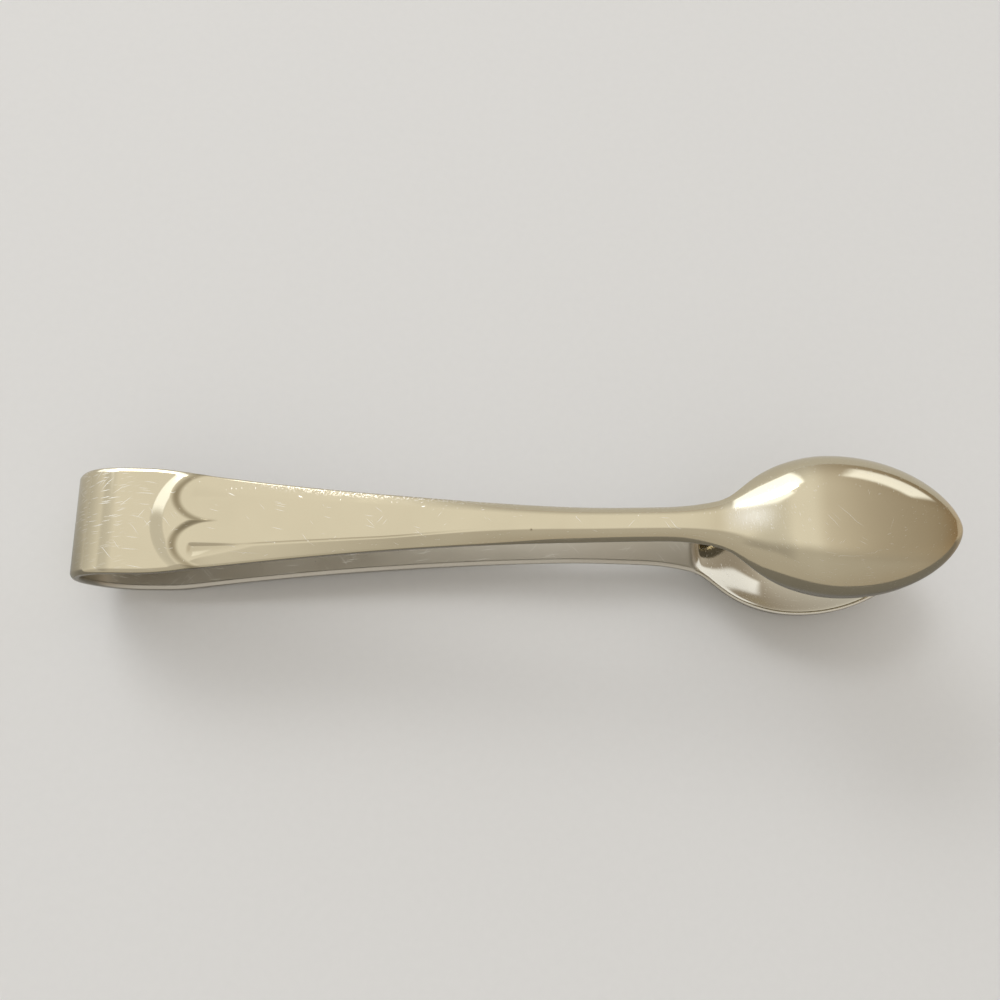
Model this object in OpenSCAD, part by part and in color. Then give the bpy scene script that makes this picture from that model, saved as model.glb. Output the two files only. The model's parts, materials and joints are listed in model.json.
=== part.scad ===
// Sugar tongs: one silver-plated strip bent into a sprung bow, tapering into
// two arms with a stamped collar at each shoulder and two pointed bowls.
// The shape is worked out on the bench, with the plane between the arms at
// z = 0 and the outside of the bow at x = 0. It is then laid on the table:
// +X runs from bow to bowls, +Z is up and the table is at z = 0.

/* [Overall] */
// Length from the outside of the bow to the tips of the bowls
overall_length = 110; // [104:1:116]
// Depth of the bow, outside to outside of its two legs
bow_depth = 14.2; // [13:0.2:16]

/* [Strip] */
// Width of the strip round the bow
bow_width = 12.7; // [12:0.1:14]
// Thickness of the strip round the bow
bow_thickness = 1.2; // [1:0.1:1.5]
// Width of each arm at its neck
neck_width = 4.2; // [3.6:0.1:5]
// Thickness of the half-round neck
neck_thickness = 1.9; // [1.6:0.1:2.3]
// Outward set of each arm from shoulder to waist
arm_spread = 0.8; // [0:0.1:1.5]
// Outward set of each arm from waist to neck
neck_rise = 1.5; // [0:0.1:2]

/* [Shoulder ornament] */
// Distance from the outside of the bow to the collar
collar_start = 11.5; // [11:0.1:12.5]
// Radius of the collar's front edge
collar_radius = 7; // [6.6:0.1:7.4]
// Height of the collar above the plain panel
collar_height = 0.3; // [0.15:0.05:0.4]
// Half width of the two round tongues that scallop the collar
tongue_radius = 2.7; // [2.5:0.1:2.8]
// Length of a tongue's round head
tongue_length = 4.1; // [3:0.1:4.4]
// Length of the tapering flute beside each tongue
flute_length = 9.2; // [6:0.2:10]
// Depth of the flute at its blunt end
flute_depth = 0.35; // [0.2:0.05:0.45]

/* [Bowls] */
// Width of each bowl across its rim
bowl_width = 17.5; // [15:0.1:19]
// Length from the back of the bowl to its widest place
bowl_back = 12.3; // [12:0.1:14]
// Length from the widest place to the tip
bowl_front = 16; // [14:0.5:18]
// Depth from the rim to the crest of the bowl's back
bowl_depth = 5.5; // [4.8:0.1:6]
// Wall thickness at the bottom of the bowl
bowl_wall = 0.9; // [0.8:0.1:1.2]
// Width of the flat rim
rim_land = 0.75; // [0.6:0.05:0.9]
// Inward tilt of each bowl, in degrees
bowl_tilt = 2; // [1:0.5:6]

/* [Hidden] */
$fn = 96;
silver = "#d6cdb2";

bow_out = bow_depth / 2;
bow_in = bow_out - bow_thickness;

// Places along the strip, measured from the outside of the bow
taper_start = 9.6;
taper_soft = 4;
panel_end = 18;
facet_start = [panel_end - 4, panel_end + 3];
facet_end = 38;
waist_x = 61;
round_x = 60;
taper_end = 67.4;
neck_x = 79;
hollow_x = 79.8;
hollow_ramp = 1.6;
wide_x = overall_length - bowl_front;
crest_x = wide_x - 2;
strip_fade = 8;

// Edge bevels: share of the half width that stays flat, and fall at the edge
panel_flat = 0.86;
panel_fall = 0.22;
facet_flat = 0.55;
facet_fall = 0.45;
neck_flat = 0.2;
neck_edge = 0.55;
rim_edge = 0.5;

// Powers and blends that shape the taper and the bowl
taper_power = 1.71;
flare_x = 73.3;
flare_rate = 0.018;
flare_run = 9.5;
join_power = 3.6;
outline_soft = 1.3;
back_power = [2.13, 0.615];
front_power = [2, 0.62];
dome_power = 0.72;
side_power = 0.5;
crest_bend = 1;
hollow_power = 0.75;
hollow_least = 0.35;
tip_blunt = 0.06;
tip_wall = 1;
tilt_blend = 5;

// Collar and flutes
collar_seat = 0.6;
collar_inset = 0.35;
ridge_width = 0.4;
tongue_x = collar_start + 7.4;
tongue_y = tongue_radius + ridge_width / 2;
cusp_x = tongue_x + 0.8;
flute_x = tongue_x - 3.2;
flute_y = tongue_y + 0.75;
flute_width = 1.5;
flute_turn = 5.6;

// Rings along the arm and the bowl, and points across each ring
arm_rings = 50;
bowl_rings = 42;
flat_steps = 3;
edge_steps = 6;
hollow_steps = 14;

function ease(a, b, x) =
    let (t = min(1, max(0, (x - a) / (b - a))))
    t * t * (3 - 2 * t);

function mix(a, b, t) = a + (b - a) * t;

// A straight ramp with a soft start of length k
function ramp(u, k) = u <= 0 ? 0 : u < k ? u * u / (2 * k) : u - k / 2;

// A rise from 0 to 1 that ends in the gentle bend of the bowl's crest
function swell(a, b, x) =
    let (t = min(1, max(0, (x - a) / (b - a))))
    t * t * t * (10 - 15 * t + 6 * t * t - crest_bend / 2 * (1 - t) * (1 - t));

// An oval side: 1 at t = 0, falling to 0 at t = 1
function oval(t, p, q) = pow(max(0, 1 - pow(max(0, t), p)), q);

// Height of the strip's flat inner face, which is also the rim of the bowl
function inner_z(x) =
    bow_in
    + arm_spread * ease(panel_end, waist_x, x)
    + neck_rise * ease(waist_x, neck_x, x)
    - tan(bowl_tilt) * ramp(x - neck_x, tilt_blend);

// Half width of the strip, from the bow down the taper to the neck flare
function strip_half(x) =
    let (t = ramp(x - taper_start, taper_soft) / (taper_end - taper_start))
    let (flare = flare_rate * pow(min(flare_run, max(0, x - flare_x)), 2))
    neck_width / 2 + (bow_width - neck_width) / 2 * pow(max(0, 1 - t), taper_power) + flare;

function bowl_half(x) =
    x < wide_x
        ? bowl_width / 2 * oval((wide_x - x) / bowl_back, back_power[0], back_power[1])
        : bowl_width / 2 * oval((x - wide_x) / (bowl_front + tip_blunt), front_power[0], front_power[1]);

// The strip and the bowl run together
function joined_half(x) =
    let (strip = strip_half(x) * (1 - ease(wide_x - strip_fade, wide_x, x)))
    pow(pow(strip, join_power) + pow(bowl_half(x), join_power), 1 / join_power);

// The outline is evened out where the bowl leaves the strip
function half_width(x) =
    let (reach = outline_soft * (1 - ease(wide_x - strip_fade, wide_x, x)))
    (joined_half(x - reach) + 2 * joined_half(x) + joined_half(x + reach)) / 4;

function hollow_half(x) =
    let (run = (x - wide_x) / (bowl_front - tip_wall))
    let (front = (bowl_width / 2 - rim_land) * oval(run, front_power[0], front_power[1]))
    max(hollow_least * half_width(x), x < wide_x ? half_width(x) - rim_land : front);

// Thickness on the centre line, from the strip to the crest of the bowl's back
function crest(x) =
    x < neck_x ? mix(bow_thickness, neck_thickness, ease(panel_end, round_x, x))
    : x < crest_x ? mix(neck_thickness, bowl_depth, swell(neck_x, crest_x, x))
    : rim_edge + (bowl_depth - rim_edge)
        * oval((x - crest_x) / (overall_length + tip_blunt - crest_x), 2, dome_power);

function hollow_depth(x) =
    let (deep = bowl_depth - bowl_wall)
    let (front = deep * oval((x - crest_x) / (overall_length - tip_wall - crest_x), 2, hollow_power))
    (x < crest_x ? crest(x) - bowl_wall : front) * ease(hollow_x, hollow_x + hollow_ramp, x);

// How the section changes: flat panel, three facets, half-round neck, bowl
function faceted(x) = ease(facet_start[0], facet_start[1], x);
function rounded(x) = ease(facet_end, round_x, x);
function edge_fall(x) =
    mix(mix(panel_fall, facet_fall, faceted(x)), neck_thickness - neck_edge, rounded(x));
function edge(x) =
    x < neck_x ? crest(x) - edge_fall(x) : mix(neck_edge, rim_edge, ease(neck_x, crest_x, x));
function flat_share(x) = mix(mix(panel_flat, facet_flat, faceted(x)), neck_flat, rounded(x));
function dome(x) = mix(1, side_power, swell(neck_x, crest_x, x));

// Height of the outer face above the inner face, at v of the half width
function outer_height(x, v) =
    let (s = flat_share(x))
    let (u = max(0, (abs(v) - s) / (1 - s)))
    edge(x) + (crest(x) - edge(x)) * oval(u, mix(1, 2, rounded(x)), dome(x));

// Shares of the half width at the points of the outer face, from +1 to -1
function outer_shares(x) =
    let (n = flat_steps + edge_steps, s = flat_share(x))
    [for (k = [n:-1:-n])
        sign(k) * (abs(k) <= flat_steps
            ? s * abs(k) / flat_steps
            : s + (1 - s) * sin(90 * (abs(k) - flat_steps) / edge_steps))];

function outer_points(x) =
    [for (v = outer_shares(x)) [x, v * half_width(x), inner_z(x) + outer_height(x, v)]];

function arm_ring(x) =
    let (w = half_width(x), z = inner_z(x))
    concat([[x, 0, z], [x, w, z]], outer_points(x), [[x, -w, z]]);

function bowl_ring(x) =
    let (w = half_width(x), z = inner_z(x))
    let (shares = [for (k = [0:hollow_steps]) -cos(180 * k / hollow_steps)])
    concat(
        outer_points(x),
        [[x, -w, z]],
        [for (v = shares) [x, v * hollow_half(x), z + hollow_depth(x) * oval(abs(v), 2, side_power)]],
        [[x, w, z]]);

// A closed solid through rings that all have the same number of points
module loft(rings) {
    n = len(rings[0]);
    last = len(rings) - 1;
    sides = [
        for (i = [0:last - 1], j = [0:n - 1])
            let (a = i * n + j, b = i * n + (j + 1) % n)
            each [[a, a + n, b + n], [a, b + n, b]]
    ];
    caps = [[for (j = [0:n - 1]) j], [for (j = [n:-1:1]) last * n + j % n]];
    polyhedron([for (r = rings) each r], concat(caps, sides), convexity = 4);
}

// The plan of the strip between two places, drawn in from its edges
module strip_plan(from, to, inset) {
    places = [from:0.25:to];
    polygon(concat(
        [for (x = places) [x, half_width(x) - inset]],
        [for (x = places) [from + to - x, inset - half_width(from + to - x)]]));
}

// The raised collar: a round front edge, and a cusp between two tongues behind
module collar_plan() {
    difference() {
        intersection() {
            translate([collar_start + collar_radius, 0])
                circle(collar_radius);
            strip_plan(collar_start - 1, cusp_x + 1, collar_inset);
        }
        for (side = [-1, 1])
            translate([tongue_x, side * tongue_y])
                scale([tongue_length / tongue_radius, 1])
                    circle(tongue_radius);
        polygon([
            [tongue_x, ridge_width / 2], [cusp_x, 0], [tongue_x, -ridge_width / 2],
            [tongue_x, -bow_width], [cusp_x + 2, -bow_width],
            [cusp_x + 2, bow_width], [tongue_x, bow_width]
        ]);
    }
}

// A V groove that starts blunt beside the tongue and runs out along the arm
module flute_cut() {
    lift = 0.2;
    grow = 1 + lift / flute_depth;
    half = flute_width / 2 * grow;
    translate([flute_x, flute_y, bow_out])
        rotate([0, 0, -flute_turn])
            polyhedron(
                [[0, half, lift], [0, -half, lift], [0, 0, -flute_depth], [flute_length * grow, 0, lift]],
                [[0, 1, 2], [0, 3, 1], [0, 2, 3], [1, 3, 2]]);
}

module arm_blank() {
    run = neck_x - bow_out;
    difference() {
        union() {
            loft([for (i = [0:arm_rings]) arm_ring(bow_out + run * i / arm_rings)]);
            translate([0, 0, bow_out - collar_seat])
                linear_extrude(collar_seat + collar_height)
                    collar_plan();
        }
        flute_cut();
        mirror([0, 1, 0])
            flute_cut();
    }
}

module bowl_blank() {
    run = overall_length - neck_x;
    // Rings crowd towards the tip, where the outline turns in
    shares = [for (i = [0:bowl_rings]) mix(i / bowl_rings, sin(90 * i / bowl_rings), 0.5)];
    loft([for (t = shares) bowl_ring(neck_x + run * t)]);
}

// At rest the lower collar and the back of the lower bowl touch the table
rest_tilt = max([for (x = [neck_x:0.25:overall_length])
    atan2(inner_z(x) + crest(x) - bow_out - collar_height, x - collar_start)]);
heel_height = (bow_out + collar_height) * cos(rest_tilt) - (collar_start - bow_out) * sin(rest_tilt);
tip_reach = (overall_length - bow_out) * cos(rest_tilt)
    + (inner_z(overall_length) + crest(overall_length)) * sin(rest_tilt);
rest_shift = (tip_reach - bow_out) / 2;

module lay_on_table() {
    translate([-rest_shift, 0, heel_height])
        rotate([0, -rest_tilt, 0])
            translate([-bow_out, 0, 0])
                children();
}

module bow_spring() {
    w = bow_width / 2;
    color(silver)
        lay_on_table()
            translate([bow_out, 0, 0])
                rotate([90, 0, 0])
                    rotate([0, 0, 90])
                        rotate_extrude(angle = 180)
                            polygon([
                                [bow_in, -w], [bow_out - panel_fall, -w], [bow_out, -panel_flat * w],
                                [bow_out, panel_flat * w], [bow_out - panel_fall, w], [bow_in, w]
                            ]);
}

module upper_arm() {
    color(silver)
        lay_on_table()
            arm_blank();
}

module upper_bowl() {
    color(silver)
        lay_on_table()
            bowl_blank();
}

module lower_arm() {
    color(silver)
        lay_on_table()
            rotate([180, 0, 0])
                arm_blank();
}

module lower_bowl() {
    color(silver)
        lay_on_table()
            rotate([180, 0, 0])
                bowl_blank();
}

bow_spring();
upper_arm();
upper_bowl();
lower_arm();
lower_bowl();
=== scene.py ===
import json
import math

import bmesh
import bpy
import numpy as np
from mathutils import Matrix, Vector


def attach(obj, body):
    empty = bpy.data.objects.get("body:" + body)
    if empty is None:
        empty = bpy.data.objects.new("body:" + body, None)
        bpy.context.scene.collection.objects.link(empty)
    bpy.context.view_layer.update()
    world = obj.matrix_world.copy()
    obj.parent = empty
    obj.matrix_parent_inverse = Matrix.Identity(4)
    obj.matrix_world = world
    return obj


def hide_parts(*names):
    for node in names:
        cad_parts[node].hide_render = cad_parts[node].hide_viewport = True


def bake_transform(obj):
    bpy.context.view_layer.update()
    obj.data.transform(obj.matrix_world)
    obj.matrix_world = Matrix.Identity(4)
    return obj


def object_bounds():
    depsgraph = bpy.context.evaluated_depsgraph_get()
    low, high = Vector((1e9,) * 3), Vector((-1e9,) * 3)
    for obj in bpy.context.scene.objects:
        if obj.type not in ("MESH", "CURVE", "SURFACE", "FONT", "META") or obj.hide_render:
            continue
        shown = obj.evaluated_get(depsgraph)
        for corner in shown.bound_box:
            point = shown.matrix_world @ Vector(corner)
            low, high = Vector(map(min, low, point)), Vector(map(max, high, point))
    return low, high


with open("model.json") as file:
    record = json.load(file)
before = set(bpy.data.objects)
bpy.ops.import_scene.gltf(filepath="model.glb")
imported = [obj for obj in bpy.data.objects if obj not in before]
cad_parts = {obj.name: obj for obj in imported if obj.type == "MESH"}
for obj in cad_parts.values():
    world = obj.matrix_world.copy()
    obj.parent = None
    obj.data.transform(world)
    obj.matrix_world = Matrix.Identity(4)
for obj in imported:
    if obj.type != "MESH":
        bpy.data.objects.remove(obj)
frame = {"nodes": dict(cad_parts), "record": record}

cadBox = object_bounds()
mounts = {mount["name"]: mount for mount in frame["record"]["mounts"]}
saddle = mounts["bow_saddle"]
collarFace = mounts["lower_collar"]
mm = 0.001
print("frame loaded:", sorted(frame["nodes"]))

# Sizes of the strip in millimetres, measured along x from the outside of the bow
strip = {
    "bowInner": saddle["dims"]["r_mm"],       # inside radius of the bow
    "bowWidth": saddle["dims"]["length_mm"] * 1.03,    # a little wider than the saddle
    "bowThickness": 1.2,
    "length": 110.0,
    "neckWidth": 4.2,
    "neckThickness": 1.9,
    "armSpread": 0.8,                         # outward set, shoulder to waist
    "neckRise": 1.5,                          # outward set, waist to neck
    "panelEnd": 18.0,
    "facetBefore": 4.0,                       # the facets set in from so far before the panel's end
    "facetAfter": 3.0,                        # to so far after it
    "facetEnd": 38.0,
    "waist": 61.0,
    "roundStart": 60.0,                       # from here the back is half round
    "neck": 79.0,
    "taperStart": 9.6,
    "taperSoft": 4.0,
    "taperEnd": 67.4,
    "taperPower": 1.77,
    "panelFlat": 0.91,                        # share of the half width that stays flat
    "facetFlat": 0.55,
    "neckFlat": 0.2,
    "panelFall": 0.17,                        # fall of the back at its edge
    "facetFall": 0.4,
    "neckEdge": 0.55,
    "creaseSoft": 0.16,                       # softness of the line between two facets
    "outerRound": 0.26,                       # polished outer corners
    "cornerMost": 0.45,                       # most of the half width that an outer corner takes
    "neckDrop": 0.6,                          # share of a corner's drop that the round neck loses
    "crownRound": 0.6,                        # width and drop of the worn corners round the bow
    "crownDrop": 0.34,
    "crownFrom": 0.3,                         # turn round the bow where they begin and where they are full
    "crownFull": 1.1,
    "innerRound": 0.62,                       # width and drop of the eased inner corners
    "innerDrop": 0.3,
    "innerMost": 0.3,                         # most of the half width that an inner corner takes
}

bowl = {
    "bowlWidth": (cadBox[1][1] - cadBox[0][1]) / mm,
    "bowlBack": 13.1,
    "bowlFront": 16.0,
    "bowlDepth": 5.5,
    "bowlWall": 0.9,
    "bowlTilt": math.tan(math.radians(2.0)),
    "tiltSoft": 5.0,
    "flareStart": 73.3,
    "flareRate": 0.018,
    "flareRun": 9.5,
    "joinRun": 8.0,                           # the arm's outline gives way to the bowl's over this run
    "joinPower": 3.6,
    "outlineSoft": 1.3,
    "backRound": 2.13,
    "backPower": 0.615,
    "frontPower": 0.62,
    "domePower": 0.72,
    "sidePower": 0.5,
    "crestBack": 2.0,                         # the dome is highest this far behind its widest place
    "crestBend": 1.0,
    "bowlRound": 0.5,                         # outer corner at the rim
    "hollowPower": 0.75,
    "hollowShare": 0.76,                      # depth of the hollow as a share of the room inside the dome
    "hollowStart": 79.8,
    "hollowRamp": 1.6,
    "hollowLeast": 0.35,                      # least share of the half width
    "rimLand": 0.5,
    "rimEdge": 0.5,
    "rimRound": 0.3,
    "rimDrop": 0.2,
    "tipWall": 1.0,
    "lipSoft": 0.16,                          # rounding between rim and hollow
    "lipDepth": 0.6,                          # depth of hollow at which it is full
}

collar = {
    "collarStart": 11.1,
    "collarRadius": 7.4,
    "collarHeight": 0.3,
    "collarSlope": 1.7,                       # width of the front slope
    "collarSoft": 0.3,                        # how far its corners are rounded
    "collarInset": 0.5,
    "tongueCentre": 18.9,
    "tongueLength": 4.1,
    "tongueSide": 2.93,
    "tongueRadius": 2.7,
    "tongueSlope": 0.95,
    "wallSoft": 0.7,                          # spread of the darkening on the wall round a tongue: tarnish and painted shade
    "cuspStart": 18.3,
    "cuspEnd": 19.5,
    "fluteStart": 15.6,
    "fluteEnd": 25.0,
    "fluteInner": 2.65,
    "fluteOuter": 5.05,
    "fluteTip": 0.2,                          # width where the flute runs out
    "fluteDepth": 0.22,
    "fluteHead": 0.88,                        # run of the wall at the blunt end
    "fluteSlope": 0.55,                       # steep wall beside the tongue
    "fluteRamp": 1.5,                         # gentle wall beside the edge
    "fluteNarrow": 0.8,                       # share of it that is lost towards the end
    "fluteFar": 0.2,                          # share of the depth in the worn far flute
    "creaseStart": 21.0,                      # the fine line along the near facet
    "creaseFade": 40.0,
    "creaseEnd": 52.0,
    "creaseDepth": 0.035,
    "creaseWidth": 0.16,
}


class Field:
    # A number that varies over a mesh or a surface: arithmetic on it adds Math nodes to the tree
    def __init__(self, tree, socket):
        self.tree = tree
        self.socket = socket

    def math(self, operation, *others, swap=False):
        node = self.tree.nodes.new("ShaderNodeMath")
        node.operation = operation
        values = [self, *others]
        if swap:
            values.reverse()
        for slot, value in zip(node.inputs, values):
            plug(self.tree, value, slot)
        return Field(self.tree, node.outputs[0])

    def __add__(self, other):
        return self.math("ADD", other)

    def __radd__(self, other):
        return self.math("ADD", other)

    def __sub__(self, other):
        return self.math("SUBTRACT", other)

    def __rsub__(self, other):
        return self.math("SUBTRACT", other, swap=True)

    def __mul__(self, other):
        return self.math("MULTIPLY", other)

    def __rmul__(self, other):
        return self.math("MULTIPLY", other)

    def __truediv__(self, other):
        return self.math("DIVIDE", other)

    def __rtruediv__(self, other):
        return self.math("DIVIDE", other, swap=True)

    def __pow__(self, other):
        return self.math("POWER", other)

    def __abs__(self):
        return self.math("ABSOLUTE")

    def least(self, other):
        return self.math("MINIMUM", other)

    def most(self, other):
        return self.math("MAXIMUM", other)


def plug(tree, value, slot):
    if isinstance(value, Field):
        value = value.socket
    if isinstance(value, bpy.types.NodeSocket):
        tree.links.new(value, slot)
    else:
        slot.default_value = value


def addNode(tree, kind, settings=None, **inputs):
    node = tree.nodes.new(kind)
    for key, value in (settings or {}).items():
        setattr(node, key, value)
    for label, value in inputs.items():
        plug(tree, value, node.inputs[label])
    return node


def parted(tree, vector):
    node = addNode(tree, "ShaderNodeSeparateXYZ", Vector=vector)
    return [Field(tree, socket) for socket in node.outputs]


def joined(tree, x, y, z):
    return addNode(tree, "ShaderNodeCombineXYZ", X=x, Y=y, Z=z).outputs[0]


def ease(low, high, value):
    node = addNode(value.tree, "ShaderNodeMapRange", {"interpolation_type": "SMOOTHSTEP"})
    for slot, part in zip(node.inputs, (value, low, high, 0.0, 1.0)):
        plug(value.tree, part, slot)
    return Field(value.tree, node.outputs["Result"])


def span(begins, ends, value):
    # One between a soft beginning and a soft end, and nothing outside them
    return ease(*begins, value) * (1.0 - ease(*ends, value))


def mixed(low, high, share):
    return low + (high - low) * share


def swell(low, high, value, bend):
    # A rise that ends in the gentle bend of the bowl's crest
    share = ((value - low) / (high - low)).most(0.0).least(1.0)
    curve = 10.0 - share * 15.0 + share * share * 6.0 - (1.0 - share) ** 2.0 * bend / 2.0
    return share ** 3.0 * curve


def ramp(value, soft):
    # A straight ramp with a soft start
    start = value.most(0.0).least(soft)
    return start * start / (soft * 2.0) + (value - soft).most(0.0)


def oval(share, power, side):
    # One at the middle, falling to nothing where share is one
    return (1.0 - share.most(0.0) ** power).most(0.0) ** side


def joinedOutline(size, x):
    # Half width from the bow down the taper, through the neck and round the bowl
    wide = size["length"] - size["bowlFront"]
    along = ramp(x - size["taperStart"], size["taperSoft"]) / (size["taperEnd"] - size["taperStart"])
    flare = (x - size["flareStart"]).most(0.0).least(size["flareRun"]) ** 2.0 * size["flareRate"]
    taper = (1.0 - along).most(0.0) ** size["taperPower"] * (size["bowWidth"] - size["neckWidth"])
    arm = (size["neckWidth"] + taper) / 2.0 + flare
    arm = arm * (1.0 - ease(wide - size["joinRun"], wide, x))
    back = oval((wide - x) / size["bowlBack"], size["backRound"], size["backPower"])
    front = oval((x - wide) / size["bowlFront"], 2.0, size["frontPower"])
    egg = back * front * size["bowlWidth"] / 2.0
    power = size["joinPower"]
    return (arm ** power + egg ** power) ** (1.0 / power)


def stripOutline(size, x):
    # The outline is evened out where the bowl leaves the strip
    wide = size["length"] - size["bowlFront"]
    reach = size["outlineSoft"] * (1.0 - ease(wide - size["joinRun"], wide, x))
    sides = joinedOutline(size, x - reach) + joinedOutline(size, x + reach)
    return (sides + joinedOutline(size, x) * 2.0) / 4.0


def innerFace(size, x):
    lift = ease(size["panelEnd"], size["waist"], x) * size["armSpread"]
    lift = lift + ease(size["waist"], size["neck"], x) * size["neckRise"]
    return size["bowInner"] + lift - ramp(x - size["neck"], size["tiltSoft"]) * size["bowlTilt"]


def thicknessFields(size, x):
    # Thickness on the centre line and at the edge, and the depth of the bowl's hollow
    crestAt = size["length"] - size["bowlFront"] - size["crestBack"]
    faceted = ease(size["panelEnd"] - size["facetBefore"], size["panelEnd"] + size["facetAfter"], x)
    rounded = ease(size["facetEnd"], size["roundStart"], x)
    inBowl = swell(size["neck"], crestAt, x, size["crestBend"])
    bar = mixed(size["bowThickness"], size["neckThickness"], ease(size["panelEnd"], size["roundStart"], x))
    rise = bar + (size["bowlDepth"] - size["neckThickness"]) * inBowl
    toTip = oval((x - crestAt) / (size["length"] - crestAt), 2.0, size["domePower"])
    crest = size["rimEdge"] + (rise - size["rimEdge"]) * toTip
    fall = mixed(size["panelFall"], size["facetFall"], faceted)
    fall = mixed(fall, size["neckThickness"] - size["neckEdge"], rounded)
    edge = bar - fall + (size["rimEdge"] - size["neckEdge"]) * inBowl
    flat = mixed(mixed(size["panelFlat"], size["facetFlat"], faceted), size["neckFlat"], rounded)
    toWall = oval((x - crestAt) / (size["length"] - size["tipWall"] - crestAt), 2.0, size["hollowPower"])
    start = ease(size["hollowStart"], size["hollowStart"] + size["hollowRamp"], x)
    depth = (rise - size["bowlWall"]) * size["hollowShare"] * toWall * start
    return crest, edge, flat, rounded, inBowl, depth


def collarRelief(size, x, reach, nearSide):
    # The stamped shoulder: a raised collar scalloped by two tongues, with a flute beside each
    out = ((x - size["collarStart"] - size["collarRadius"]) ** 2.0 + reach ** 2.0).math("SQRT")
    climb = ((size["collarRadius"] - out) / size["collarSlope"]).most(0.0).least(1.0)
    front = mixed(climb, ease(0.0, 1.0, climb), size["collarSoft"])
    back = (x - size["tongueCentre"]).least(0.0) * size["tongueRadius"] / size["tongueLength"]
    toTongue = (back ** 2.0 + (reach - size["tongueSide"]) ** 2.0).math("SQRT") - size["tongueRadius"]
    scallop = ease(0.0, size["tongueSlope"], toTongue)
    fade = 1.0 - ease(size["cuspStart"], size["cuspEnd"], x)
    raised = front * scallop * fade
    # The wall round each tongue is darkened later: tarnish, and painted shade on the wall
    wall = (scallop * (1.0 - scallop) * 4.0) ** size["wallSoft"] * front * fade
    along = ((x - size["fluteStart"]) / (size["fluteEnd"] - size["fluteStart"])).most(0.0).least(1.0)
    outer = mixed(size["fluteOuter"], size["fluteInner"] + size["fluteTip"], along)
    gentle = size["fluteRamp"] * (1.0 - along * size["fluteNarrow"])
    groove = ease(0.0, size["fluteSlope"], reach - size["fluteInner"]) * ease(0.0, gentle, outer - reach)
    groove = groove * ease(0.0, size["fluteHead"], x - size["fluteStart"]) * (1.0 - along)
    return raised, groove * mixed(size["fluteFar"], 1.0, nearSide), wall


# Points round the section, counted on one side of the centre line
section = {
    "backSteps": 60,
    "cornerSteps": 7,
    "hollowSteps": 22,
    "landSteps": 6,
    "landCrowd": 1.5,                         # points on the rim crowd towards the hollow
    "rimAt": 0.8,                             # share of the inner points' way where the rim begins
    "endRings": (0.02, 0.07, 0.2),            # extra rings this close to the ends of a stretch
}

# Marks for the finishes, stored on the strip; some carry painted shade and painted highlights as well as
# wear
wear = {
    "depth": 2.0,                             # patterns run this much faster into the metal
    "outerFace": 30.0,                        # steps in the patterns from face to face and limb to limb
    "limb": 60.0,
    "flute": 0.4,                             # darkening in the flutes and along the fine line: tarnish and painted shade
    "crease": 0.6,
    "edge": (0.72, 0.97),                     # shares of the half width over which edges wear
    # the rim line carries a painted highlight
    "rim": (0.97, 0.995),
    "hollow": (0.1, 0.8),                     # depths over which the hollow's rougher finish and painted shade set in
}
leastWidth = 0.0001                           # keeps the division sound at the tip


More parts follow.
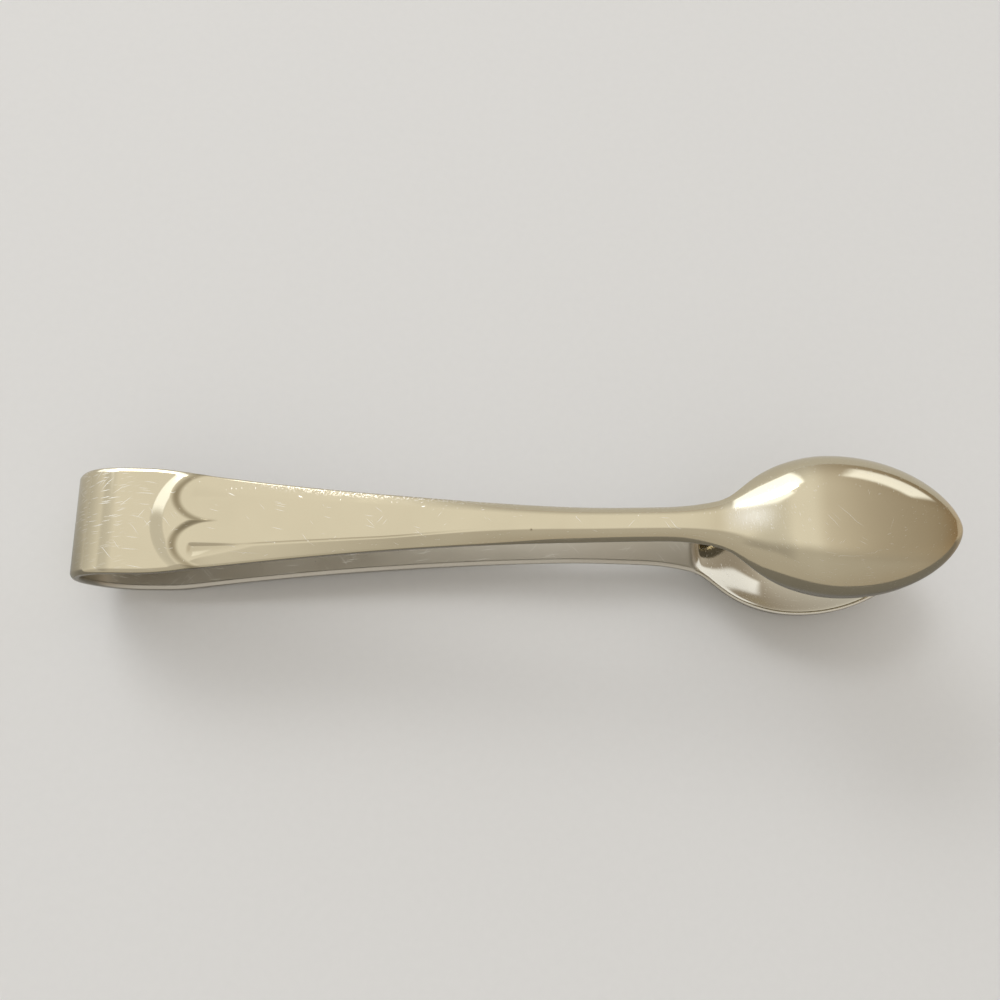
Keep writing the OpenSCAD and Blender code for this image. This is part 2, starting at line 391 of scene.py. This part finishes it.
def formTree(sizes, finishes):
    tree = bpy.data.node_groups.new("formStrip", "GeometryNodeTree")
    tree.is_modifier = True
    tree.interface.new_socket("Geometry", in_out="INPUT", socket_type="NodeSocketGeometry")
    for name, value in sizes.items():
        socket = tree.interface.new_socket(name, in_out="INPUT", socket_type="NodeSocketFloat")
        socket.default_value = value
    for name in finishes:
        tree.interface.new_socket(name, in_out="INPUT", socket_type="NodeSocketMaterial")
    tree.interface.new_socket("Geometry", in_out="OUTPUT", socket_type="NodeSocketGeometry")
    groupIn = tree.nodes.new("NodeGroupInput")
    groupOut = tree.nodes.new("NodeGroupOutput")
    size = {name: Field(tree, groupIn.outputs[name]) for name in sizes}

    # The flat blank holds the way along the strip, the way across, and outer or inner face
    way, across, outerFace = parted(tree, tree.nodes.new("GeometryNodeInputPosition").outputs[0])
    x = size["bowInner"] + size["bowThickness"] + way.most(0.0)
    turn = way.least(0.0) / size["bowInner"]
    sign = across.math("SIGN")
    nearSide = (1.0 - sign) / 2.0

    half = stripOutline(size, x)
    crest, edge, flat, rounded, inBowl, depth = thicknessFields(size, x)
    share = abs(across).least(1.0)
    bend = (abs(across) - 1.0).most(0.0) * (math.pi / 2)
    bendOut = bend.math("SINE")
    bendDown = 1.0 - bend.math("COSINE")

    # Back of the strip, with polished corners
    bent = ease(size["crownFrom"], size["crownFull"], 0.0 - turn)
    corner = mixed(mixed(size["outerRound"], size["crownRound"], bent), size["bowlRound"], inBowl)
    corner = corner.least(half * size["cornerMost"])
    outSide = (half - corner) * share + bendOut * corner
    toEdge = outSide / half.most(leastWidth)
    slant = ramp((toEdge - flat) / (1.0 - flat), size["creaseSoft"])
    slant = (slant / (1.0 - size["creaseSoft"] / 2.0)).least(1.0)
    backHeight = edge + (crest - edge) * oval(slant, rounded + 1.0, mixed(1.0, size["sidePower"], inBowl))
    drop = mixed(size["outerRound"], size["crownDrop"], bent)
    backHeight = backHeight - bendDown * drop * (1.0 - rounded * size["neckDrop"]) * (1.0 - inBowl)
    raised, groove, wall = collarRelief(size, x, outSide, nearSide)
    inset = ease(0.0, size["collarInset"], half - outSide)
    backHeight = backHeight + (raised * size["collarHeight"] - groove * size["fluteDepth"]) * inset
    crease = 1.0 - ease(0.0, size["creaseWidth"], abs(outSide - half * flat))
    begins = (size["creaseStart"], size["fluteEnd"])
    ends = (size["creaseFade"], size["creaseEnd"])
    crease = crease * span(begins, ends, x) * nearSide
    backHeight = backHeight - crease * size["creaseDepth"]

    # Inner face: flat along the arm, then a rim and a hollow
    most = half * size["innerMost"]
    lip = mixed(size["innerRound"], size["rimRound"], inBowl).least(most)
    lipDrop = mixed(size["innerDrop"], size["rimDrop"], inBowl).least(most)
    wide = size["length"] - size["bowlFront"]
    toTip = oval((x - wide) / (size["bowlFront"] - size["tipWall"]), 2.0, size["frontPower"])
    hollow = (half - size["rimLand"]).least((size["bowlWidth"] / 2.0 - size["rimLand"]) * toTip)
    hollow = hollow.most(half * size["hollowLeast"])
    toRim = (share / section["rimAt"]).least(1.0)
    land = ((share - section["rimAt"]) / (1.0 - section["rimAt"])).most(0.0)
    inSide = hollow * toRim + (half - lip - hollow) * land + bendOut * lip
    sunk = depth * oval(toRim, 2.0, 1.0) - (inSide - hollow).most(0.0)
    soft = size["lipSoft"] * ease(0.0, size["lipDepth"], depth)
    innerHeight = (sunk + (sunk ** 2.0 + soft ** 2.0).math("SQRT")) / 2.0 + bendDown * lipDrop

    # Bent round the bow, then laid down as the tongs rest
    side = mixed(inSide, outSide, outerFace) * sign
    height = mixed(innerHeight, backHeight, outerFace)
    benchX = way.most(0.0) + (size["bowInner"] + height) * turn.math("SINE")
    benchZ = (innerFace(size, x) + height) * turn.math("COSINE") * size["flip"]
    tiltSine = size["restTilt"].math("SINE")
    tiltCosine = size["restTilt"].math("COSINE")
    tableX = (benchX * tiltCosine - benchZ * tiltSine + size["bowX"]) * mm
    tableZ = (benchX * tiltSine + benchZ * tiltCosine + size["bowZ"]) * mm

    # What the finishes read: the place on the strip in millimetres, recesses (tarnish and painted shade),
    # edges (wear, and a painted highlight on the inner ones), the rim's painted highlight and the hollow's
    # painted shade
    layer = height * wear["depth"] + outerFace * wear["outerFace"] + size["flip"] * wear["limb"]
    # Recesses darkened in colour: tongue walls, flutes and the fine line, tarnish and painted shade
    recess = (wall + groove * wear["flute"] + crease * wear["crease"]).least(1.0)
    marks = {
        "stripPlace": joined(tree, way, side, layer),
        "recess": recess * outerFace,
        # inner face: painted highlight along its eased edges and the bowl's rim land; outer face: the edges
        # that wear
        "edgeWear": mixed(bendDown.most(land * inBowl), ease(*wear["edge"], toEdge), outerFace),
        "rimLine": ease(*wear["rim"], toEdge) * inBowl * outerFace,
        "inHollow": ease(*wear["hollow"], depth) * (1.0 - outerFace),
    }
    geometry = groupIn.outputs["Geometry"]
    for name, value in marks.items():
        kind = "FLOAT" if isinstance(value, Field) else "FLOAT_VECTOR"
        store = addNode(tree, "GeometryNodeStoreNamedAttribute", {"data_type": kind}, Name=name)
        plug(tree, geometry, store.inputs["Geometry"])
        plug(tree, value, store.inputs["Value"])
        geometry = store.outputs[0]

    place = joined(tree, tableX, side * size["flip"] * mm, tableZ)
    inner = addNode(tree, "GeometryNodeInputNamedAttribute", {"data_type": "BOOLEAN"}, Name="innerFace")
    chain = [
        addNode(tree, "GeometryNodeSetPosition", Geometry=geometry, Position=place),
        addNode(tree, "GeometryNodeMergeByDistance", Distance=1e-6),
        addNode(tree, "GeometryNodeSetShadeSmooth"),
        addNode(tree, "GeometryNodeRealizeInstances"),
        addNode(tree, "GeometryNodeSetMaterial", Material=groupIn.outputs[finishes[0]]),
        addNode(tree, "GeometryNodeSetMaterial", Material=groupIn.outputs[finishes[1]],
                Selection=inner.outputs["Attribute"]),
        groupOut,
    ]
    for before, after in zip(chain, chain[1:]):
        tree.links.new(before.outputs[0], after.inputs["Geometry"])
    return tree


def sectionLoop():
    rimAt = section["rimAt"]
    quarter = np.linspace(0, 1, section["cornerSteps"] + 1)[1:]
    back = np.concatenate([np.linspace(0, 1, section["backSteps"] + 1), 1 + quarter])
    hollow = rimAt * np.sin(np.linspace(0, math.pi / 2, section["hollowSteps"] + 1))
    land = rimAt + (1 - rimAt) * np.linspace(0, 1, section["landSteps"] + 1)[1:] ** section["landCrowd"]
    inner = np.concatenate([hollow, land, 1 + quarter])
    outside = np.concatenate([-back[::-1], back[1:]])
    inside = np.concatenate([inner[::-1], -inner[1:]])
    return outside, inside


def stations(stops):
    # Places along the strip: (from, to, step) stretches, rounded so that doubles fall together
    places = [np.linspace(a, b, max(2, round((b - a) / step) + 1)) for a, b, step in stops]
    close = np.array(section["endRings"])
    places = np.concatenate([*places, stops[0][0] + close, stops[-1][1] - close])
    return np.unique(np.round(places, 5))


def flatBlank(name, places):
    outside, inside = sectionLoop()
    loop = np.concatenate([outside, inside])
    outer = np.concatenate([np.ones(len(outside)), np.zeros(len(inside))])
    rings = len(places)
    count = len(loop)
    points = np.stack([np.repeat(places, count), np.tile(loop, rings), np.tile(outer, rings)], 1)
    ring = np.arange(rings - 1)[:, None] * count
    first = np.arange(count)[None]
    second = (first + 1) % count
    quads = np.stack([ring + first, ring + count + first, ring + count + second, ring + second], -1)
    mesh = bpy.data.meshes.new(name)
    mesh.from_pydata(points.tolist(), [], quads.reshape(-1, 4).tolist())
    inner = np.broadcast_to(outer[first] * outer[second] == 0, (rings - 1, count))
    mesh.attributes.new("innerFace", "BOOLEAN", "FACE").data.foreach_set("value", inner.ravel())
    return mesh


def closeEnds(mesh):
    # Caps the cut through the metal, with a hard edge so that the shading runs on across it
    work = bmesh.new()
    work.from_mesh(mesh)
    rims = [edge for edge in work.edges if edge.is_boundary]
    for face in bmesh.ops.holes_fill(work, edges=rims, sides=0)["faces"]:
        face.smooth = False
    for edge in rims:
        edge.smooth = False
    print("   ", mesh.name, "volume mm3", round(work.calc_volume(signed=True) / mm ** 3, 1))
    work.to_mesh(mesh)
    work.free()


def formPiece(name, places, tree, values):
    blank = flatBlank(name + ".blank", places)
    piece = bpy.data.objects.new(name, blank)
    bpy.context.scene.collection.objects.link(piece)
    form = piece.modifiers.new("form", "NODES")
    form.node_group = tree
    for item in tree.interface.items_tree:
        if item.in_out == "INPUT" and item.name in values:
            form[item.identifier] = values[item.name]
    ready = piece.evaluated_get(bpy.context.evaluated_depsgraph_get())
    mesh = bpy.data.meshes.new_from_object(ready)
    mesh.name = name
    piece.modifiers.clear()
    piece.data = mesh
    bpy.data.meshes.remove(blank)
    closeEnds(mesh)
    return piece


def noise(tree, place, scale, detail=2.0):
    node = addNode(tree, "ShaderNodeTexNoise", Vector=place, Scale=scale, Detail=detail)
    return Field(tree, node.outputs["Fac"])


def tinted(tree, low, high, share):
    node = addNode(tree, "ShaderNodeMix", {"data_type": "RGBA", "clamp_factor": True})
    for slot, part in ((0, share), (6, low), (7, high)):
        plug(tree, (*part, 1.0) if isinstance(part, tuple) else part, node.inputs[slot])
    return node.outputs[2]


def shaderGroup(name, inputs):
    # A node group with a place, some named numbers and a mask to put out
    group = bpy.data.node_groups.new(name, "ShaderNodeTree")
    group.interface.new_socket("Place", in_out="INPUT", socket_type="NodeSocketVector")
    for label, value in inputs.items():
        socket = group.interface.new_socket(label, in_out="INPUT", socket_type="NodeSocketFloat")
        socket.default_value = value
    group.interface.new_socket("Mask", in_out="OUTPUT", socket_type="NodeSocketFloat")
    source = group.nodes.new("NodeGroupInput")
    numbers = {label: Field(group, source.outputs[label]) for label in inputs}
    return group, source.outputs["Place"], numbers, group.nodes.new("NodeGroupOutput").inputs["Mask"]


def spots(group, cells, size, amount, smallest, core):
    # Soft round spots of uneven size, in some of a pattern's cells
    pick, spread = parted(group, cells.outputs["Color"])[:2]
    radius = size * (spread + smallest)
    spot = 1.0 - ease(radius * core, radius, Field(group, cells.outputs["Distance"]))
    return spot * pick.math("LESS_THAN", amount)


scratch = {
    "inputs": {"Turn": 0.0, "Scale": 4.0, "Stretch": 36.0, "Width": 0.12, "Amount": 0.15},
    "bend": 0.9,                              # how far a slow noise bends the strokes
    "bendScale": 0.3,
    "layerWay": 0.37,                         # steps that keep the strokes of one face off the other
    "layerSide": 1.7,
    "smallest": 0.3,
    "core": 0.3,
}


def scratchGroup():
    # Fine strokes: round spots in cells that are drawn out one way
    group, place, number, mask = shaderGroup("fineScratches", scratch["inputs"])
    spun = addNode(group, "ShaderNodeVectorRotate", {"rotation_type": "Z_AXIS"}, Vector=place)
    plug(group, number["Turn"], spun.inputs["Angle"])
    x, y, layer = parted(group, spun.outputs[0])
    alongStroke = x / number["Stretch"] + layer * scratch["layerWay"]
    bend = noise(group, place, scratch["bendScale"], 1.0) * scratch["bend"]
    drawn = joined(group, alongStroke, y + bend + layer * scratch["layerSide"], 0.0)
    cells = addNode(group, "ShaderNodeTexVoronoi", {"voronoi_dimensions": "2D"}, Vector=drawn)
    plug(group, number["Scale"], cells.inputs["Scale"])
    strokes = spots(group, cells, number["Width"], number["Amount"], scratch["smallest"], scratch["core"])
    plug(group, strokes, mask)
    return group


speck = {"inputs": {"Scale": 0.5, "Amount": 0.1, "Size": 0.12}, "smallest": 0.35, "core": 0.5}


def speckGroup():
    # Pin-prick pits, one here and there
    group, place, number, mask = shaderGroup("tarnishSpecks", speck["inputs"])
    cells = addNode(group, "ShaderNodeTexVoronoi", Vector=place, Scale=number["Scale"])
    pits = spots(group, cells, number["Size"], number["Amount"], speck["smallest"], speck["core"])
    plug(group, pits, mask)
    return group


# Finishes of the silver plate: linear colours, and patterns in millimetres along and across the strip
plate = {
    # worn: darker colour of pits, smears and recesses; in the recesses it is partly painted shade
    "outerPlate": {"colour": (0.70, 0.625, 0.45), "worn": (0.27, 0.22, 0.13), "rough": 0.07,
                   "hairs": 0.16, "bright": 0.75, "specks": 0.08, "dull": 0.06},
    "innerPlate": {"colour": (0.60, 0.56, 0.475), "worn": (0.25, 0.21, 0.15), "rough": 0.33,
                   "hairs": 0.3, "bright": 0.5, "specks": 0.12, "dull": 0.05},
    # painted shade: the bowl's hollow is coloured darker
    "hollow": (0.58, 0.535, 0.43),
    # lighter colour of scratches, grain and the scuffed patch: real wear with a painted glint
    "hairline": (0.95, 0.93, 0.87),
    # edge: painted highlight along the inner edges and the bowl's rim line
    "edge": (0.86, 0.82, 0.73),
    # golden tip: bare brass where the plate is worn, and a painted warm reflection
    "bareMetal": (0.74, 0.46, 0.16),
    "strokes": ((0.15, 1.0), (0.8, 1.0), (-0.9, 0.6)),    # turn and share of each set of fine strokes
    "bow": {                                  # short strokes round the bend of the bow, more on the far side
        "strokes": {"Turn": -0.2, "Scale": 4.4, "Stretch": 13.0, "Width": 0.24, "Amount": 0.9},
        "begins": (-6.5, -4.0), "ends": (-1.5, 3.5), "side": (-3.5, 0.5), "nearShare": 0.4},
    "scuff": {                                # a scuffed patch at the foot of the upper bowl
        "strokes": {"Turn": 1.3, "Scale": 5.0, "Stretch": 14.0, "Width": 0.18, "Amount": 0.7},
        "way": 76.0, "side": 0.6, "long": (0.4, 3.8), "wide": (0.0, 2.6)},
    "grain": {"scale": 4.0, "detail": 3.0, "cut": (0.5, 0.62),    # coarse worn grain along one edge
              "begins": (12.0, 26.0), "ends": (66.0, 73.0), "side": (0.0, 0.6)},
    "smear": {"scale": 0.16, "cut": (0.25, 0.8)},
    "tip": {"scale": 0.7, "sway": 2.0, "way": (98.5, 103.5), "face": 0.5, "edge": 0.4},
    "ripple": {"scale": 0.6, "height": 0.5},
    "pitSize": 0.13,
    # darkening of pits (tarnish) and of recesses (tarnish and painted shade)
    "stain": {"pits": 0.85, "recess": 0.75},
    "shine": {"innerEdge": 0.8, "rim": 0.9},
    "lighter": {"grain": 0.6, "scuffed": 0.45},
    "rougher": {"hairs": 0.22, "pits": 0.25, "grain": 0.2, "rimLine": 0.2, "scuffed": 0.2},
    "sunk": {"hairs": 0.4, "pits": 1.0, "grain": 0.5},
    "bump": {"Strength": 0.5, "Distance": 0.00001},
}


def summed(masks, shares):
    # Adds up masks, each with its share
    total = 0.0
    for label, share in shares.items():
        total = total + masks[label] * share
    return total


def plateFinish(name, scratches, specks):
    look = plate[name]
    material = bpy.data.materials.new(name)
    material.use_nodes = True
    tree = material.node_tree
    shader = tree.nodes["Principled BSDF"]
    shader.inputs["Metallic"].default_value = 1.0
    masks = {}
    for label in ("recess", "edgeWear", "rimLine", "inHollow"):
        reader = addNode(tree, "ShaderNodeAttribute", {"attribute_name": label})
        masks[label] = Field(tree, reader.outputs["Fac"])
    place = addNode(tree, "ShaderNodeAttribute", {"attribute_name": "stripPlace"}).outputs["Vector"]
    way, side, layer = parted(tree, place)

    def grouped(group, **inputs):
        node = addNode(tree, "ShaderNodeGroup", {"node_tree": group}, Place=place, **inputs)
        return Field(tree, node.outputs["Mask"])

    # Strokes all over, round the bend of the bow and on the scuffed patch
    bow = plate["bow"]
    bent = span(bow["begins"], bow["ends"], way) * mixed(bow["nearShare"], 1.0, ease(*bow["side"], side))
    scuff = plate["scuff"]
    scuffed = 1.0 - ease(*scuff["long"], abs(way - scuff["way"]))
    scuffed = scuffed * (1.0 - ease(*scuff["wide"], abs(side - scuff["side"])))
    scuffed = scuffed * layer.math("GREATER_THAN", wear["limb"] + wear["outerFace"] / 2)
    strokes = [grouped(scratches, Turn=turn, Amount=look["hairs"] * part) for turn, part in plate["strokes"]]
    strokes.append(grouped(scratches, **bow["strokes"]) * bent)
    strokes.append(grouped(scratches, **scuff["strokes"]) * scuffed)
    hairs = strokes[0]
    for more in strokes[1:]:
        hairs = hairs.most(more)

    # Pits, the worn grain along the edge, dull smears and the golden tip (bare brass and a painted warm
    # reflection)
    pits = grouped(specks, Amount=look["specks"], Size=plate["pitSize"])
    coarse = plate["grain"]
    grain = ease(*coarse["cut"], noise(tree, place, coarse["scale"], coarse["detail"])) * masks["edgeWear"]
    grain = grain * span(coarse["begins"], coarse["ends"], way) * ease(*coarse["side"], side)
    smear = ease(*plate["smear"]["cut"], noise(tree, place, plate["smear"]["scale"]))
    bare = plate["tip"]
    tip = ease(*bare["way"], way + (noise(tree, place, bare["scale"]) - 0.5) * bare["sway"])
    masks.update(hairs=hairs, pits=pits, grain=grain, scuffed=scuffed)

    # Pits are tarnish; the recesses are darkened with tarnish and painted shade
    stain = (pits * plate["stain"]["pits"]).most(masks["recess"] * plate["stain"]["recess"])
    colour = tinted(tree, look["colour"], look["worn"], stain + smear * look["dull"])
    if name == "innerPlate":
        # painted shade in the bowl's hollow
        colour = tinted(tree, colour, plate["hollow"], masks["inHollow"])
        # painted highlight along the inner edges and the rim land
        colour = tinted(tree, colour, plate["edge"], masks["edgeWear"] * plate["shine"]["innerEdge"])
    # painted highlight along the bowl's rim line
    colour = tinted(tree, colour, plate["edge"], masks["rimLine"] * plate["shine"]["rim"])
    # golden tip: bare brass and a painted warm reflection
    baredAndReflecting = tip * (masks["edgeWear"] * bare["edge"] + bare["face"])
    colour = tinted(tree, colour, plate["bareMetal"], baredAndReflecting)
    # Scratches, grain and the scuffed patch tinted lighter: real wear, with a painted glint
    lighter = hairs * look["bright"] + summed(masks, plate["lighter"])
    plug(tree, tinted(tree, colour, plate["hairline"], lighter), shader.inputs["Base Color"])

    rough = mixed(look["rough"], plate["outerPlate"]["rough"], masks["inHollow"])
    rough = rough + smear * look["dull"] + summed(masks, plate["rougher"])
    plug(tree, rough, shader.inputs["Roughness"])
    ripple = noise(tree, place, plate["ripple"]["scale"], 1.0) * plate["ripple"]["height"]
    bump = addNode(tree, "ShaderNodeBump", Height=ripple - summed(masks, plate["sunk"]), **plate["bump"])
    plug(tree, bump.outputs[0], shader.inputs["Normal"])
    return material


scratches = scratchGroup()
specks = speckGroup()
finish = {name: plateFinish(name, scratches, specks) for name in ("outerPlate", "innerPlate")}
print("finishes made:", list(finish))

# One tree forms every stretch of the strip
restTilt = math.atan2(collarFace["axis"][0], -collarFace["axis"][2])
bed = {
    "flip": 1.0,                              # one for the upper limb, minus one for the lower
    "restTilt": restTilt,
    "bowX": saddle["pos_m"][0] / mm,
    "bowZ": saddle["pos_m"][2] / mm,
}
sizes = {**strip, **bowl, **collar, **bed}
finishes = {"Outer Finish": finish["outerPlate"], "Inner Finish": finish["innerPlate"]}
formStrip = formTree(sizes, list(finishes))

# Rings along the strip: spacing in each stretch, and the shoulder's finer ones with a margin
spacing = {"bow": 0.2, "panel": 0.3, "shoulder": 0.09, "arm": 0.5, "bowl": 0.25}
shoulderMargin = 0.4
tipRings = 64
bowOutside = strip["bowInner"] + strip["bowThickness"]
quarterBow = strip["bowInner"] * math.pi / 2
shoulderStart = collar["collarStart"] - shoulderMargin - bowOutside
shoulderEnd = collar["fluteEnd"] + shoulderMargin - bowOutside
neckAt = strip["neck"] - bowOutside
wideAt = strip["length"] - bowl["bowlFront"] - bowOutside
tipPlaces = np.sin(np.linspace(0, math.pi / 2, tipRings)) * bowl["bowlFront"] + wideAt
armStops = [
    (0.0, shoulderStart, spacing["panel"]),
    (shoulderStart, shoulderEnd, spacing["shoulder"]),
    (shoulderEnd, neckAt, spacing["arm"]),
]
stretches = {
    "bow": stations([(-quarterBow, 0.0, spacing["bow"])]),
    "arm": stations(armStops),
    "bowl": np.unique(np.concatenate([stations([(neckAt, wideAt, spacing["bowl"])]), tipPlaces])),
}
bowCentre = Vector(saddle["pos_m"])
bendInset = 0.1                               # the bow's end points lie just short of the inner face
bendReach = (strip["bowInner"] - bendInset) * mm

for limb, flip in (("upper", 1.0), ("lower", -1.0)):
    body = limb + "_limb"
    for zone, places in stretches.items():
        name = limb + "_" + zone + "_plate"
        piece = formPiece(name, places, formStrip, {**sizes, **finishes, "flip": flip})
        if zone == "bow":
            # The bow keeps its place: the points by the crown and by the arm are worked out but not used
            crown = bowCentre - Vector((math.cos(restTilt), 0, math.sin(restTilt))) * bendReach
            root = bowCentre + Vector((-math.sin(restTilt), 0, math.cos(restTilt))) * bendReach * flip
            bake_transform(piece)
            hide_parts("bow_spring")
        else:
            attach(piece, body)
            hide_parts(limb + "_" + zone)
        print("formed", piece.name, len(piece.data.polygons), "faces")

# Studio: a pale floor, a wide soft ceiling, soft windows on the far side and a key light in the left one.
# Pairs are where a change begins and ends, as parts of a direction of length one
studio = {
    "floor": (0.80, 0.795, 0.78),
    "floorDark": 0.97,                        # share of that colour in the floor's grain
    "floorGrain": 900.0,
    "floorRough": 0.9,
    "floorSize": 3.0,
    "mirrored": {"far": 0.85, "near": 0.3},   # share of the floor's colour that the metal mirrors: painted shade, darker on the near side
    "mirrorTurn": (-0.02, 0.02),              # metres across the floor from near to far
    "ceiling": 0.95,
    "high": (-0.05, 0.8),
    "horizon": {"far": 0.65, "near": 0.9, "turn": (-0.4, 0.2)},    # share of the ceiling's light low down
    "rightShade": {"dim": 0.5, "turn": (-0.1, 0.8), "nearFade": 0.75, "nearTurn": (0.0, 0.5)},
    "nearShade": {"dim": 0.38, "turn": (0.0, 0.4), "warm": 0.25},
    "leftShade": {"dim": 0.22, "turn": (0.42, 0.66), "up": (0.5, 0.62)},
    "warmHigh": 0.5,                          # share of the warm tint that is lost overhead
    "windows": [                              # degrees round from the right, and heights
        {"round": (103, 149), "up": (0.02, 0.62), "level": 1.2},
        {"round": (128, 158), "up": (0.45, 0.76), "level": 0.9},
        {"round": (28, 62), "up": (0.18, 0.50), "level": 1.0},
    ],
    "windowSoft": (3, 0.035),                 # soft edges, in degrees and in height
    "paleLight": (1.0, 0.985, 0.955),
    "windowLight": (0.86, 0.95, 1.1),
    "warmLight": (1.0, 0.82, 0.60),
    "backdrop": 0.8,
    "key": {"place": (-0.42, 0.6, 0.52), "size": (0.34, 0.26), "power": 1.4},
}


def keyLight():
    look = studio["key"]
    data = bpy.data.lights.new("keyLight", "AREA")
    data.shape = "RECTANGLE"
    data.size = look["size"][0]
    data.size_y = look["size"][1]
    data.energy = look["power"]
    lamp = bpy.data.objects.new("keyLight", data)
    bpy.context.scene.collection.objects.link(lamp)
    lamp.location = look["place"]
    lamp.rotation_euler = lamp.location.to_track_quat("Z", "Y").to_euler()


def floorPiece():
    half = studio["floorSize"] / 2
    mesh = bpy.data.meshes.new("floor")
    corners = [(-half, -half, 0), (half, -half, 0), (half, half, 0), (-half, half, 0)]
    mesh.from_pydata(corners, [], [(0, 1, 2, 3)])
    floor = bpy.data.objects.new("floor", mesh)
    bpy.context.scene.collection.objects.link(floor)
    material = bpy.data.materials.new("paleFloor")
    material.use_nodes = True
    tree = material.node_tree
    shader = tree.nodes["Principled BSDF"]
    shader.inputs["Roughness"].default_value = studio["floorRough"]
    place = addNode(tree, "ShaderNodeTexCoord").outputs["Object"]
    far = parted(tree, place)[1]
    dark = tuple(part * studio["floorDark"] for part in studio["floor"])
    pale = tinted(tree, dark, studio["floor"], noise(tree, place, studio["floorGrain"]))
    glossy = Field(tree, addNode(tree, "ShaderNodeLightPath").outputs["Is Glossy Ray"])
    # Painted shade: in the metal's reflections the floor is darker, most on the near side
    share = mixed(studio["mirrored"]["near"], studio["mirrored"]["far"], ease(*studio["mirrorTurn"], far))
    plug(tree, tinted(tree, pale, (0.0, 0.0, 0.0), glossy * (1.0 - share)), shader.inputs["Base Color"])
    mesh.materials.append(material)


def softEdge(at, soft):
    return at - soft, at + soft


def studioWorld():
    world = bpy.data.worlds.new("studio")
    bpy.context.scene.world = world
    world.use_nodes = True
    tree = world.node_tree
    right, far, up = parted(tree, addNode(tree, "ShaderNodeTexCoord").outputs["Generated"])
    near = 0.0 - far
    left = 0.0 - right

    # Soft light from the ceiling down to the horizon, dimmer to the right, close by and high on the left
    horizon = studio["horizon"]
    high = ease(*studio["high"], up)
    low = mixed(horizon["near"], horizon["far"], ease(*horizon["turn"], far))
    onRight = studio["rightShade"]
    rightShade = ease(*onRight["turn"], right)
    rightShade = rightShade * (1.0 - ease(*onRight["nearTurn"], near) * onRight["nearFade"])
    nearShade = ease(*studio["nearShade"]["turn"], near)
    leftShade = ease(*studio["leftShade"]["turn"], left) * ease(*studio["leftShade"]["up"], up)
    level = mixed(low, 1.0, high) * studio["ceiling"]
    level = level * (1.0 - rightShade * onRight["dim"])
    level = level * (1.0 - nearShade * studio["nearShade"]["dim"])
    level = level * (1.0 - leftShade * studio["leftShade"]["dim"])
    warm = (rightShade + nearShade * studio["nearShade"]["warm"]) * (1.0 - high * studio["warmHigh"])
    colour = tinted(tree, studio["paleLight"], studio["warmLight"], warm)

    around = far.math("ARCTAN2", right)
    turnSoft = math.radians(studio["windowSoft"][0])
    upSoft = studio["windowSoft"][1]
    glass = 0.0
    for window in studio["windows"]:
        first, last = (math.radians(angle) for angle in window["round"])
        bottom, top = window["up"]
        pane = span(softEdge(first, turnSoft), softEdge(last, turnSoft), around)
        pane = pane * span(softEdge(bottom, upSoft), softEdge(top, upSoft), up)
        glass = glass + pane * window["level"]
    level = level + glass
    colour = tinted(tree, colour, studio["windowLight"], glass / level)

    seen = Field(tree, addNode(tree, "ShaderNodeLightPath").outputs["Is Camera Ray"])
    shade = tree.nodes["Background"]
    plug(tree, tinted(tree, colour, studio["paleLight"], seen), shade.inputs["Color"])
    plug(tree, mixed(level, studio["backdrop"], seen), shade.inputs["Strength"])


floorPiece()
studioWorld()
keyLight()
print("studio lit")

# The camera stands above the tongs and a little to the near side
view = {
    "place": (-0.014072, -0.025875, 0.135826),
    "turn": (13.624, -5.733, 0.451),
    "lens": 36.0,
    "sensor": 36.0,
    "nearest": 0.005,
}
camera = bpy.data.objects.new("camera", bpy.data.cameras.new("camera"))
bpy.context.scene.collection.objects.link(camera)
camera.location = view["place"]
camera.rotation_euler = [math.radians(angle) for angle in view["turn"]]
camera.data.sensor_width = view["sensor"]
camera.data.lens = view["lens"]
camera.data.clip_start = view["nearest"]
bpy.context.scene.camera = camera
bpy.context.scene.view_settings.view_transform = "Standard"
